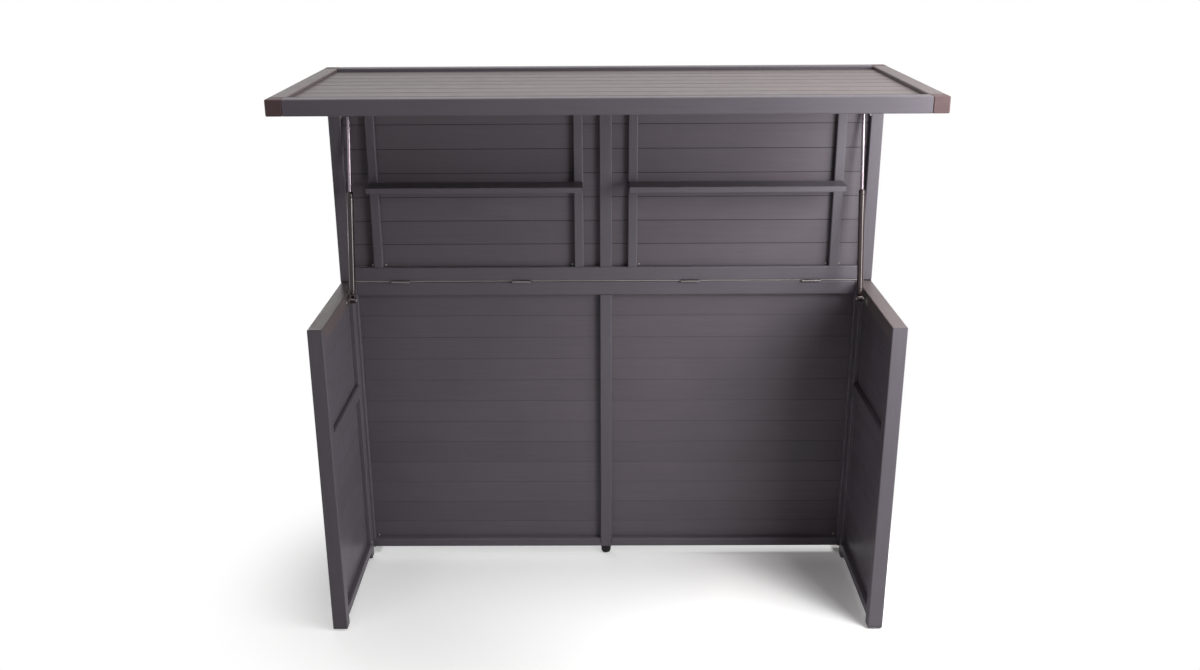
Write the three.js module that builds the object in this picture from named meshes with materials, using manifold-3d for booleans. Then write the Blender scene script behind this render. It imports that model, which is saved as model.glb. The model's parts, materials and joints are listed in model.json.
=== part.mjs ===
// Slatted aluminium bar unit: a planked wall with two side wings, and above it a folding flap
// that carries two shelves and a slatted counter. Two gas struts hold the flap upright.
// Millimetres, +Z up, +X to the right of someone standing in front, who looks along +Y.
// The origin is on the floor under the middle of the counter.

import * as THREE from 'three';
import { mergeVertices } from 'three/addons/utils/BufferGeometryUtils.js';
import Module from 'manifold-3d';

const wasm = await Module();
wasm.setup();

// Counter

const counterWidth = 1200;
const counterDepth = 500;
const counterHeight = 1100;
const rimTube = 30;
const counterReach = 344;
const counterSideReach = 30;
const slatDrop = 7.5;
const slatCount = 8;
const bearerWidth = 26;
const spigotLength = 18;
const spigotClearance = 0.2;
const capBevel = 1.2;

// Wall, wings and flap

const wallHeight = 662;
const frameTube = 26;
const wingTubeWidth = 30;
const endPostWidth = 35;
const tallRail = 30;
const lowRail = 20;
const railFloorGap = 20.5;
const postFloorGap = 6.5;
const wingReach = 311;
const wingMidRailFoot = 406;
const weldGap = 0.2;
const tubeWall = 1.5;
const tubeRound = 2.5;

// Planks

const plankThickness = 8;
const plankWall = 1.2;
const plankRecess = 12;
const wingPlankRecess = 10;
const grooveWidth = 1.8;
const grooveDepth = 1.6;
const wallPlankPitch = 50.1;
const wallLowestPlank = 40.2;
const flapPlankPitch = 51;
const flapLowestPlank = 48.2;

// Uprights and shelves inside the flap

const uprightWidth = 20;
const innerUprightX = 57;
const outerUprightInset = 84;
const shelfInnerInset = 1;
const shelfOuterInset = 4;
const shelfDepth = 57;
const shelfThickness = 12.5;
const shelfRise = 215.3;
const shelfRound = 2;
const shelfRib = 1.6;
const shelfChambers = 3;

// Hinges

const innerHingeX = 181;
const outerHingeInset = 130;
const leafWidth = 40;
const leafReach = 20;
const leafThickness = 1;
const leafSeat = 0.2;
const hingeRun = 0.3;
const knuckleRadius = 2.8;
const knuckleCount = 5;
const pinRadius = 1.25;
const boreRadius = 1.45;

// Gas struts

const strutStandOff = 11.5;
const strutFootY = -80;
const strutHeadY = 5;
const strutHeadDrop = 39.8;
const cylinderShare = 0.576;
const cylinderBottom = 20;
const cylinderRadius = 7.5;
const cylinderWall = 1.4;
const cylinderFloor = 3;
const cylinderChamfer = 0.9;
const glandLength = 8;
const rodRadius = 4;
const rodClearance = 0.3;
const pistonLength = 10;
const pistonReserve = 4;
const socketRadius = 6;
const socketLength = 11;
const socketNeckRadius = 3.6;
const ballRadius = 4;
const ballClearance = 0.4;
const studRadius = 2.5;
const studFlangeRadius = 5;
const studFlangeThickness = 2;
const footPlateLength = 44;
const footPlateWidth = 16;
const headPlateLength = 36;
const headPlateWidth = 9.6;
const plateThickness = 2;
const plateRound = 3;

// Feet

const glideTopRadius = 7.5;
const glideFloorRadius = 5.5;
const glideChamfer = 0.8;
const plugFlange = 2;
const plugDepth = 14;
const plugClearance = 0.3;
const centreFootTopRadius = 11;
const centreFootWaist = 6;

// How finely round shapes are cut into flats

const roundSides = 16;
const knuckleSides = 12;
const ballRings = 8;
const cornerSteps = 2;
const cutOverrun = 1;

// Sizes that follow from those above

const quarterTurn = Math.PI / 2;
const counterBottom = counterHeight - rimTube;
const wallWidth = counterWidth - 2 * counterSideReach;
const wallFrontY = counterReach - counterDepth / 2;
const wallRailFoot = wallHeight - tallRail;
const lowRailTop = railFloorGap + lowRail;
const seamGap = 2 * (leafThickness + leafSeat) + hingeRun;
const flapFoot = wallHeight + seamGap;
const flapTop = counterBottom - weldGap;
const flapPanelFoot = flapFoot + tallRail;
const flapPanelTop = flapTop - lowRail;
const hingeY = -(knuckleRadius + hingeRun);
const hingeZ = wallHeight + seamGap / 2;
const outerUprightX = wallWidth / 2 - outerUprightInset;
const shelfInnerX = innerUprightX - uprightWidth / 2 + shelfInnerInset;
const shelfOuterX = outerUprightX + uprightWidth / 2 - shelfOuterInset;
const shelfTop = flapFoot + shelfRise;
const outerHingeX = wallWidth / 2 - outerHingeInset;
const hingeXs = [-outerHingeX, -innerHingeX, innerHingeX, outerHingeX];
const flapInnerX = wallWidth / 2 - frameTube;
const wingInnerX = wallWidth / 2 - wingTubeWidth;
const wingDepth = wingReach - weldGap;
const wingPostX = (wingDepth - frameTube) / 2;
const battenDepth = plankRecess - weldGap;
const strutX = wingInnerX - strutStandOff;
const strutFootZ = wallHeight - tallRail / 2;
const strutHeadZ = flapTop - strutHeadDrop;
const strutLength = Math.hypot(strutHeadY - strutFootY, strutHeadZ - strutFootZ);
const strutLean = Math.atan2(strutHeadY - strutFootY, strutHeadZ - strutFootZ);
const cylinderTop = strutLength * cylinderShare;
const boreClear = cylinderRadius - cylinderWall;

// Materials

const anthracite = { color: 0x4c484d, roughness: 0.5, metalness: 0.35 };

function paint(look) {
  return new THREE.MeshStandardMaterial(look);
}

const frameLook = () => paint(anthracite);
const plankLook = () => paint({ ...anthracite, color: 0x4a464b, roughness: 0.55 });
const slatLook = () => paint({ ...anthracite, color: 0x5a5556, roughness: 0.5 });
const capLook = () => paint({ color: 0x5b4a49, roughness: 0.6, metalness: 0 });
const footLook = () => paint({ color: 0x1b1a1c, roughness: 0.7, metalness: 0 });
const hingeLook = () => paint({ color: 0x8f8785, roughness: 0.35, metalness: 0.9 });
const cylinderLook = () => paint({ color: 0x1c1716, roughness: 0.25, metalness: 0.6 });
const rodLook = () => paint({ color: 0xd8d4d8, roughness: 0.12, metalness: 1 });

// Every finished piece is a named mesh.
function piece(name, geometry, material, place = [0, 0, 0], turn = new THREE.Euler()) {
  const mesh = new THREE.Mesh(geometry, material);
  mesh.name = name;
  mesh.position.set(...place);
  mesh.rotation.copy(turn);
  return mesh;
}

function sideName(side) {
  return side < 0 ? 'left' : 'right';
}

// Joining and cutting

function toSolid(geometry) {
  const bare = geometry.clone();
  bare.deleteAttribute('normal');
  bare.deleteAttribute('uv');
  const merged = mergeVertices(bare);
  const vertProperties = new Float32Array(merged.attributes.position.array);
  const triVerts = new Uint32Array(merged.index.array);
  return new wasm.Manifold(new wasm.Mesh({ numProp: 3, vertProperties, triVerts }));
}

function toGeometry(solid) {
  const { vertProperties, triVerts } = solid.getMesh();
  const geometry = new THREE.BufferGeometry();
  geometry.setAttribute('position', new THREE.BufferAttribute(vertProperties, 3));
  geometry.setIndex(new THREE.BufferAttribute(triVerts, 1));
  geometry.computeVertexNormals();
  return geometry;
}

function joined(geometries) {
  return geometries.map(toSolid).reduce((whole, next) => whole.add(next));
}

// A box from its lowest corner to its highest.
function block(low, high) {
  const size = high.map((value, axis) => value - low[axis]);
  const middle = high.map((value, axis) => (value + low[axis]) / 2);
  return new THREE.BoxGeometry(...size).translate(...middle);
}

// A round bar along X between two stations.
function barAlongX(radius, from, to, sides) {
  const bar = new THREE.CylinderGeometry(radius, radius, Math.abs(to - from), sides);
  return bar.rotateZ(quarterTurn).translate((from + to) / 2, 0, 0);
}

// A solid turned about Z from a profile of [radius, height] points.
function turned(profile, sides) {
  const points = profile.map(([radius, height]) => new THREE.Vector2(radius, height));
  return new THREE.LatheGeometry(points, sides).rotateX(quarterTurn);
}

// Tubes: an extrusion runs along its own Z, and these turns lay it along X, Y or Z.
// The section's first and second sides then lie along the two axes that follow in the order X, Y, Z.

const runs = {
  x: { turn: [quarterTurn, quarterTurn, 0], place: (start, first, second) => [start, first, second] },
  y: { turn: [-quarterTurn, 0, -quarterTurn], place: (start, first, second) => [second, start, first] },
  z: { turn: [0, 0, 0], place: (start, first, second) => [first, second, start] },
};

function roundedRectangle(width, height, radius) {
  const shape = new THREE.Shape();
  const x = width / 2 - radius;
  const y = height / 2 - radius;
  shape.absarc(x, y, radius, 0, quarterTurn);
  shape.absarc(-x, y, radius, quarterTurn, 2 * quarterTurn);
  shape.absarc(-x, -y, radius, 2 * quarterTurn, 3 * quarterTurn);
  shape.absarc(x, -y, radius, 3 * quarterTurn, 4 * quarterTurn);
  shape.closePath();
  return shape;
}

function rectangleHole(left, bottom, right, top) {
  const hole = new THREE.Path();
  hole.moveTo(left, bottom);
  hole.lineTo(left, top);
  hole.lineTo(right, top);
  hole.lineTo(right, bottom);
  hole.closePath();
  return hole;
}

function extruded(shape, length) {
  const options = { depth: length, bevelEnabled: false, curveSegments: cornerSteps };
  return new THREE.ExtrudeGeometry(shape, options);
}

// A hollow tube with rounded corners. cutStart and cutEnd say how far each end is cut back
// at a point of the section, which mitres the end without a boolean.
function tubeGeometry([first, second], length, cutStart, cutEnd) {
  const section = roundedRectangle(first, second, tubeRound);
  const x = first / 2 - tubeWall;
  const y = second / 2 - tubeWall;
  section.holes.push(rectangleHole(-x, -y, x, y));
  const geometry = extruded(section, length);
  const corners = geometry.attributes.position;
  for (let i = 0; i < corners.count; i += 1) {
    const atStart = corners.getZ(i) < length / 2;
    const cut = atStart ? cutStart : cutEnd;
    if (cut) {
      const back = cut(corners.getX(i), corners.getY(i));
      corners.setZ(i, corners.getZ(i) + (atStart ? back : -back));
    }
  }
  return geometry;
}

// size holds the section's two sides and middle its centre, both along the two axes that follow the run.
function tube(name, run, size, middle, [start, end], { cutStart, cutEnd } = {}) {
  const { turn, place } = runs[run];
  const geometry = tubeGeometry(size, end - start, cutStart, cutEnd);
  return piece(name, geometry, frameLook(), place(start, ...middle), new THREE.Euler(...turn));
}

// Plank panels: extruded planks side by side, each a hollow chamber, with a V groove between
// neighbours on both faces. The section has the panel's height along x and its thickness along y.

function plankSeams(height, lowest, pitch) {
  const above = Math.round((height - lowest) / pitch);
  return Array.from({ length: above }, (_, k) => lowest + k * pitch);
}

function plankSection(height, seams) {
  const shape = new THREE.Shape();
  shape.moveTo(0, 0);
  for (const seam of seams) {
    shape.lineTo(seam - grooveWidth / 2, 0);
    shape.lineTo(seam, grooveDepth);
    shape.lineTo(seam + grooveWidth / 2, 0);
  }
  shape.lineTo(height, 0);
  shape.lineTo(height, plankThickness);
  for (const seam of seams.toReversed()) {
    shape.lineTo(seam + grooveWidth / 2, plankThickness);
    shape.lineTo(seam, plankThickness - grooveDepth);
    shape.lineTo(seam - grooveWidth / 2, plankThickness);
  }
  shape.lineTo(0, plankThickness);
  shape.closePath();
  const edges = [0, ...seams, height];
  const web = grooveWidth / 2 + plankWall;
  for (let k = 1; k < edges.length; k += 1) {
    const chamber = [edges[k - 1] + web, plankWall, edges[k] - web, plankThickness - plankWall];
    shape.holes.push(rectangleHole(...chamber));
  }
  return shape;
}

// A panel that stands in a frame, its front face at frontY.
function standingPanel(name, halfWidth, frontY, foot, top, seams) {
  const section = plankSection(top - foot, seams);
  const turn = new THREE.Euler(2 * quarterTurn, quarterTurn, 0);
  const place = [-halfWidth, frontY + plankThickness, foot];
  return piece(name, extruded(section, 2 * halfWidth), plankLook(), place, turn);
}

// Wall: two end posts, two rails, a centre post let into the bottom rail, and the planks.

function makeWall() {
  const wall = new THREE.Group();
  const middleY = frameTube / 2;
  const postX = (wallWidth - endPostWidth) / 2;
  const clearHalf = wallWidth / 2 - endPostWidth - weldGap;
  for (const side of [-1, 1]) {
    const name = `wall_end_post_${sideName(side)}`;
    const size = [endPostWidth, frameTube];
    wall.add(tube(name, 'z', size, [side * postX, middleY], [railFloorGap, wallHeight]));
  }
  const topRailZ = wallHeight - tallRail / 2;
  wall.add(tube('wall_top_rail', 'x', [frameTube, tallRail], [middleY, topRailZ], [-clearHalf, clearHalf]));
  wall.add(makeNotchedRail(clearHalf, middleY));

  const postSpan = [railFloorGap, wallRailFoot - weldGap];
  wall.add(tube('wall_centre_post', 'z', [frameTube, battenDepth], [0, battenDepth / 2], postSpan));

  const foot = lowRailTop + weldGap;
  const top = wallRailFoot - weldGap;
  const seams = plankSeams(top - foot, wallLowestPlank, wallPlankPitch);
  wall.add(standingPanel('wall_planks', clearHalf, plankRecess, foot, top, seams));
  return wall;
}

// The bottom rail runs through, and the flat centre post is let into a notch in its front.
function makeNotchedRail(clearHalf, middleY) {
  const middleZ = railFloorGap + lowRail / 2;
  const rail = tube('', 'x', [frameTube, lowRail], [middleY, middleZ], [-clearHalf, clearHalf]);
  rail.updateMatrix();
  const notchHalf = frameTube / 2 + weldGap;
  const notch = block(
    [-notchHalf, -cutOverrun, railFloorGap - cutOverrun],
    [notchHalf, plankRecess, lowRailTop + cutOverrun],
  );
  const cut = toSolid(rail.geometry.applyMatrix4(rail.matrix)).subtract(toSolid(notch));
  return piece('wall_bottom_rail', toGeometry(cut), frameLook());
}

// A wing is built like a small wall that faces -Y, and is then turned to face inwards.
// Its front and back posts meet the top rail in mitred corners.

function makeWing(side) {
  const wing = new THREE.Group();
  const label = sideName(side);
  const middleY = wingTubeWidth / 2;
  const clearHalf = wingDepth / 2 - frameTube - weldGap;

  for (const end of [-1, 1]) {
    const name = `wing_${end === side ? 'front' : 'back'}_post_${label}`;
    const fall = tallRail / frameTube;
    const cutEnd = (x) => weldGap + (frameTube / 2 - end * x) * fall;
    const span = [postFloorGap, wallHeight];
    wing.add(tube(name, 'z', [frameTube, wingTubeWidth], [end * wingPostX, middleY], span, { cutEnd }));
  }

  const mitre = (y, z) => weldGap + (tallRail / 2 - z) * (frameTube / tallRail);
  const topRailZ = wallHeight - tallRail / 2;
  const topSpan = [-wingDepth / 2, wingDepth / 2];
  const topSection = [wingTubeWidth, tallRail];
  const cuts = { cutStart: mitre, cutEnd: mitre };
  wing.add(tube(`wing_top_rail_${label}`, 'x', topSection, [middleY, topRailZ], topSpan, cuts));

  const lowRailZ = railFloorGap + lowRail / 2;
  const clearSpan = [-clearHalf, clearHalf];
  const lowSection = [wingTubeWidth, lowRail];
  wing.add(tube(`wing_bottom_rail_${label}`, 'x', lowSection, [middleY, lowRailZ], clearSpan));

  const midDepth = wingPlankRecess - weldGap;
  const midZ = wingMidRailFoot + tallRail / 2;
  wing.add(tube(`wing_mid_rail_${label}`, 'x', [midDepth, tallRail], [midDepth / 2, midZ], clearSpan));

  const foot = lowRailTop + weldGap;
  const top = wallRailFoot - weldGap;
  const seams = plankSeams(top - foot, wallLowestPlank, wallPlankPitch);
  wing.add(standingPanel(`wing_planks_${label}`, clearHalf, wingPlankRecess, foot, top, seams));

  wing.position.set(side * wingInnerX, -weldGap - wingDepth / 2, 0);
  wing.rotation.z = -side * quarterTurn;
  return wing;
}

// Feet: a moulded plug sits in the open end of each wing post and ends in a round glide.

function plugFootGeometry() {
  const flangeTop = postFloorGap - weldGap;
  const flangeBottom = flangeTop - plugFlange;
  const profile = [
    [0, 0],
    [glideFloorRadius - glideChamfer, 0],
    [glideFloorRadius, glideChamfer],
    [glideTopRadius, flangeBottom + plugFlange / 2],
    [0, flangeBottom + plugFlange / 2],
  ];
  const flange = extruded(roundedRectangle(wingTubeWidth, frameTube, tubeRound), plugFlange);
  const halfX = wingTubeWidth / 2 - tubeWall - plugClearance;
  const halfY = frameTube / 2 - tubeWall - plugClearance;
  const plugFoot = flangeTop - plugFlange / 2;
  const plug = block([-halfX, -halfY, plugFoot], [halfX, halfY, postFloorGap + plugDepth]);
  return toGeometry(joined([turned(profile, roundSides), flange.translate(0, 0, flangeBottom), plug]));
}

function makeFeet() {
  const feet = new THREE.Group();
  const postX = wingInnerX + wingTubeWidth / 2;
  const backY = -weldGap - frameTube / 2;
  const frontY = -wingReach + frameTube / 2;
  for (const side of [-1, 1]) {
    const label = sideName(side);
    feet.add(piece(`foot_front_${label}`, plugFootGeometry(), footLook(), [side * postX, frontY, 0]));
    feet.add(piece(`foot_back_${label}`, plugFootGeometry(), footLook(), [side * postX, backY, 0]));
  }
  const top = railFloorGap - weldGap;
  const profile = [
    [0, 0],
    [glideFloorRadius - glideChamfer, 0],
    [glideFloorRadius, glideChamfer],
    [glideFloorRadius, centreFootWaist],
    [centreFootTopRadius, top - centreFootWaist],
    [centreFootTopRadius, top],
    [0, top],
  ];
  feet.add(piece('foot_centre', turned(profile, roundSides), footLook(), [0, frameTube / 2, 0]));
  return feet;
}

// Hinges: a butt hinge lies in the seam with its knuckles in front. The lower leaf has the outer
// and middle knuckles, bored for the pin, and the upper leaf has the other two and the pin.

function leafGeometry(level, isLower) {
  const low = level < 0 ? -hingeRun / 2 - leafThickness : hingeRun / 2;
  const high = low + leafThickness;
  const plateStart = knuckleRadius + hingeRun;
  const forms = [block([-leafWidth / 2, plateStart, low], [leafWidth / 2, leafReach, high])];
  const pitch = leafWidth / knuckleCount;
  for (let k = isLower ? 0 : 1; k < knuckleCount; k += 2) {
    const from = -leafWidth / 2 + k * pitch + (k > 0 ? hingeRun / 2 : 0);
    const to = -leafWidth / 2 + (k + 1) * pitch - (k < knuckleCount - 1 ? hingeRun / 2 : 0);
    forms.push(barAlongX(knuckleRadius, from, to, knuckleSides));
    forms.push(block([from, 0, low], [to, plateStart + hingeRun, high]));
  }
  if (!isLower) {
    forms.push(barAlongX(pinRadius, -leafWidth / 2, leafWidth / 2, knuckleSides));
    return toGeometry(joined(forms));
  }
  const boreEnd = leafWidth / 2 + cutOverrun;
  const bore = toSolid(barAlongX(boreRadius, -boreEnd, boreEnd, knuckleSides));
  return toGeometry(joined(forms).subtract(bore));
}

function makeLeaves(word, level) {
  const leaves = new THREE.Group();
  hingeXs.forEach((x, k) => {
    const geometry = leafGeometry(level, level < 0);
    leaves.add(piece(`hinge_${k + 1}_${word}_leaf`, geometry, hingeLook(), [x, hingeY, hingeZ]));
  });
  return leaves;
}

// Flap: a frame like the wall's above the seam, four uprights and two shelves.

function makeFlap() {
  const flap = new THREE.Group();
  const middleY = frameTube / 2;
  const postX = (wallWidth - frameTube) / 2;
  const clearHalf = wallWidth / 2 - frameTube - weldGap;
  for (const side of [-1, 1]) {
    const name = `flap_end_post_${sideName(side)}`;
    flap.add(tube(name, 'z', [frameTube, frameTube], [side * postX, middleY], [flapFoot, flapTop]));
  }
  const lowZ = flapFoot + tallRail / 2;
  const highZ = flapTop - lowRail / 2;
  flap.add(tube('flap_bottom_rail', 'x', [frameTube, tallRail], [middleY, lowZ], [-clearHalf, clearHalf]));
  flap.add(tube('flap_top_rail', 'x', [frameTube, lowRail], [middleY, highZ], [-clearHalf, clearHalf]));

  const foot = flapPanelFoot + weldGap;
  const top = flapPanelTop - weldGap;
  const seams = plankSeams(top - foot, flapLowestPlank, flapPlankPitch);
  flap.add(standingPanel('flap_planks', clearHalf, plankRecess, foot, top, seams));

  const battenY = battenDepth / 2;
  const batten = (name, width, x) => tube(name, 'z', [width, battenDepth], [x, battenY], [foot, top]);
  flap.add(batten('flap_centre_post', frameTube, 0));
  for (const side of [-1, 1]) {
    const label = sideName(side);
    flap.add(batten(`inner_upright_${label}`, uprightWidth, side * innerUprightX));
    flap.add(batten(`outer_upright_${label}`, uprightWidth, side * outerUprightX));
    flap.add(makeShelf(side));
    flap.add(makeHeadPlate(side));
  }
  return flap;
}

// A shelf is one extruded board with chambers between its ribs, fixed to the fronts of two uprights.
function makeShelf(side) {
  const depth = shelfDepth - weldGap;
  const length = shelfOuterX - shelfInnerX;
  const pitch = (depth - shelfRib) / shelfChambers;
  const halfHeight = shelfThickness / 2 - shelfRib;
  let board = toSolid(extruded(roundedRectangle(depth, shelfThickness, shelfRound), length));
  for (let k = 0; k < shelfChambers; k += 1) {
    const left = -depth / 2 + shelfRib + k * pitch;
    const right = left + pitch - shelfRib;
    const chamber = block([left, -halfHeight, -cutOverrun], [right, halfHeight, length + cutOverrun]);
    board = board.subtract(toSolid(chamber));
  }
  const start = side < 0 ? -shelfOuterX : shelfInnerX;
  const place = [start, -weldGap - depth / 2, shelfTop - shelfThickness / 2];
  const turn = new THREE.Euler(...runs.x.turn);
  return piece(`shelf_${sideName(side)}`, toGeometry(board), frameLook(), place, turn);
}

// Counter: four rim tubes plugged into corner caps, and slats on three bearers.

function makeCounter() {
  const counter = new THREE.Group();
  const half = counterWidth / 2;
  const backY = counterDepth - counterReach;
  const middleY = backY - counterDepth / 2;
  const middleZ = counterBottom + rimTube / 2;
  const square = [rimTube, rimTube];
  const xSpan = [-half + rimTube + weldGap, half - rimTube - weldGap];
  const ySpan = [-counterReach + rimTube + weldGap, backY - rimTube - weldGap];
  for (const [word, way] of [['front', -1], ['back', 1]]) {
    const railY = middleY + way * (counterDepth - rimTube) / 2;
    counter.add(tube(`counter_${word}_rail`, 'x', square, [railY, middleZ], xSpan));
    for (const side of [-1, 1]) {
      const place = [side * (half - rimTube / 2), railY, middleZ];
      counter.add(piece(`corner_cap_${word}_${sideName(side)}`, capGeometry(side, way), capLook(), place));
    }
  }
  for (const side of [-1, 1]) {
    const middle = [middleZ, side * (half - rimTube / 2)];
    counter.add(tube(`counter_side_rail_${sideName(side)}`, 'y', square, middle, ySpan));
  }
  counter.add(makeSlats(-counterReach + rimTube + weldGap, backY - rimTube - weldGap));
  return counter;
}

// A rounded cube with a spigot into each of its two tubes. side and way point to the outer corner.
function capGeometry(side, way) {
  const inner = rimTube - 2 * capBevel;
  const cube = new THREE.ExtrudeGeometry(roundedRectangle(rimTube, rimTube, tubeRound), {
    depth: inner,
    bevelThickness: capBevel,
    bevelSize: capBevel,
    bevelOffset: -capBevel,
    bevelSegments: cornerSteps,
    curveSegments: cornerSteps,
  }).translate(0, 0, -inner / 2);
  const thick = rimTube / 2 - tubeWall - spigotClearance;
  const reach = rimTube / 2 + spigotLength;
  const alongX = [0, -side * reach].sort((a, b) => a - b);
  const alongY = [0, -way * reach].sort((a, b) => a - b);
  const xSpigot = block([alongX[0], -thick, -thick], [alongX[1], thick, thick]);
  const ySpigot = block([-thick, alongY[0], -thick], [thick, alongY[1], thick]);
  return toGeometry(joined([cube, xSpigot, ySpigot]));
}

// The slats are one panel of planks that lies in the rim, welded to three bearers underneath.
function makeSlats(frontY, backY) {
  const depth = backY - frontY;
  const pitch = depth / slatCount;
  const seams = Array.from({ length: slatCount - 1 }, (_, k) => (k + 1) * pitch);
  const start = -counterWidth / 2 + rimTube + weldGap;
  const under = counterHeight - slatDrop - plankThickness;
  const panel = extruded(plankSection(depth, seams), -2 * start);
  const lying = new THREE.Mesh(panel);
  lying.rotation.set(...runs.x.turn);
  lying.position.set(start, frontY, under);
  lying.updateMatrix();
  const forms = [panel.applyMatrix4(lying.matrix)];
  const bearerTop = under + plankWall / 2;
  const bearerX = (wallWidth - bearerWidth) / 2;
  for (const x of [-bearerX, 0, bearerX]) {
    const size = [bearerTop - counterBottom, bearerWidth];
    const bearer = tube('', 'y', size, [(bearerTop + counterBottom) / 2, x], [frontY, backY]);
    bearer.updateMatrix();
    forms.push(bearer.geometry.applyMatrix4(bearer.matrix));
  }
  return piece('counter_slats', toGeometry(joined(forms)), slatLook());
}

// Gas struts. Each is drawn along its own Z from the foot pivot and then leaned back to meet the flap.

function socketNeck(from, to) {
  return turned([[0, from], [rodRadius, from], [rodRadius, to], [0, to]], roundSides);
}

// A plate that lies against a face square to X, from x = 0 to its thickness.
function plateGeometry(alongY, alongZ) {
  const plate = extruded(roundedRectangle(alongY, alongZ, plateRound), plateThickness);
  return plate.rotateY(quarterTurn).rotateX(quarterTurn);
}

// The bracket on a wing: a plate on the inner face and a ball stud that points inwards.
function makeFootBracket(side) {
  const faceX = wingInnerX - weldGap - strutX;
  const plate = plateGeometry(footPlateLength, footPlateWidth);
  plate.translate(side > 0 ? faceX - plateThickness : -faceX, 0, 0);
  const plateX = side * (faceX - plateThickness / 2);
  const flangeX = side * (faceX - plateThickness - studFlangeThickness);
  const ball = new THREE.SphereGeometry(ballRadius, roundSides, ballRings).rotateZ(quarterTurn);
  const stud = barAlongX(studRadius, 0, plateX, roundSides);
  const flange = barAlongX(studFlangeRadius, flangeX, plateX, roundSides);
  const geometry = toGeometry(joined([plate, stud, flange, ball]));
  const place = [side * strutX, strutFootY, strutFootZ];
  return piece(`strut_bracket_${sideName(side)}`, geometry, hingeLook(), place);
}

// The plate on the flap that the head stud meets.
function makeHeadPlate(side) {
  const faceX = flapInnerX - weldGap;
  const geometry = plateGeometry(headPlateWidth, headPlateLength);
  const place = [side > 0 ? faceX - plateThickness : -faceX, strutHeadY, strutHeadZ];
  return piece(`strut_head_plate_${sideName(side)}`, geometry, hingeLook(), place);
}

function cylinderGeometry(side) {
  const gland = rodRadius + rodClearance;
  const profile = [
    [0, cylinderBottom],
    [cylinderRadius - cylinderChamfer, cylinderBottom],
    [cylinderRadius, cylinderBottom + cylinderChamfer],
    [cylinderRadius, cylinderTop - cylinderChamfer],
    [cylinderRadius - cylinderChamfer, cylinderTop],
    [gland, cylinderTop],
    [gland, cylinderTop - glandLength],
    [boreClear, cylinderTop - glandLength],
    [boreClear, cylinderBottom + cylinderFloor],
    [0, cylinderBottom + cylinderFloor],
  ];
  const socket = barAlongX(socketRadius, -socketLength / 2, socketLength / 2, roundSides);
  const neck = socketNeck(socketRadius - cylinderChamfer, cylinderBottom + cylinderFloor / 2);
  const cavityRadius = ballRadius + ballClearance;
  const cavity = new THREE.SphereGeometry(cavityRadius, roundSides, ballRings).rotateZ(quarterTurn);
  const mouth = barAlongX(socketNeckRadius, 0, side * (socketLength / 2 + cutOverrun), roundSides);
  const solid = joined([turned(profile, roundSides), neck, socket]);
  return toGeometry(solid.subtract(toSolid(cavity)).subtract(toSolid(mouth)));
}

function rodGeometry(side) {
  const pistonTop = cylinderTop - glandLength - pistonReserve;
  const piston = boreClear - rodClearance;
  const neckTop = strutLength - socketRadius + cylinderChamfer;
  const profile = [
    [0, pistonTop - pistonLength],
    [piston, pistonTop - pistonLength],
    [piston, pistonTop],
    [rodRadius, pistonTop],
    [rodRadius, neckTop],
    [0, neckTop],
  ];
  const plateFaceX = flapInnerX - weldGap - plateThickness - strutX;
  const studEnd = side * (plateFaceX - rodClearance);
  const flangeX = studEnd - side * studFlangeThickness;
  const head = [
    barAlongX(socketRadius, -socketLength / 2, socketLength / 2, roundSides),
    barAlongX(studRadius, 0, studEnd, roundSides),
    barAlongX(studFlangeRadius, flangeX, studEnd, roundSides),
  ];
  const raised = head.map((form) => form.translate(0, 0, strutLength));
  return toGeometry(joined([turned(profile, roundSides), ...raised]));
}

function makeStrut(side) {
  const strut = new THREE.Group();
  const label = sideName(side);
  strut.add(piece(`strut_cylinder_${label}`, cylinderGeometry(side), cylinderLook()));
  strut.add(piece(`strut_rod_${label}`, rodGeometry(side), rodLook()));
  strut.position.set(side * strutX, strutFootY, strutFootZ);
  strut.rotation.x = -strutLean;
  return strut;
}

// The whole unit, drawn from the wall's front plane and then moved to sit under the counter's middle.

const unit = new THREE.Group();
unit.add(makeWall());
unit.add(makeWing(-1));
unit.add(makeWing(1));
unit.add(makeFeet());
unit.add(makeLeaves('lower', -1));
unit.add(makeLeaves('upper', 1));
unit.add(makeFlap());
unit.add(makeCounter());
for (const side of [-1, 1]) {
  unit.add(makeFootBracket(side));
  unit.add(makeStrut(side));
}
unit.position.y = wallFrontY;

const bar = new THREE.Group();
bar.add(unit);

export default bar;
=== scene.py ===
# Looks of a slatted aluminium bar unit: coated tubes and planks, corner caps, hinges, gas struts.
# Metres, +Z up, the viewer looks along +Y. Sizes that the frame knows are read from its nodes.
# Axes are numbered 0, 1 and 2 for X, Y and Z.

import json

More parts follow.
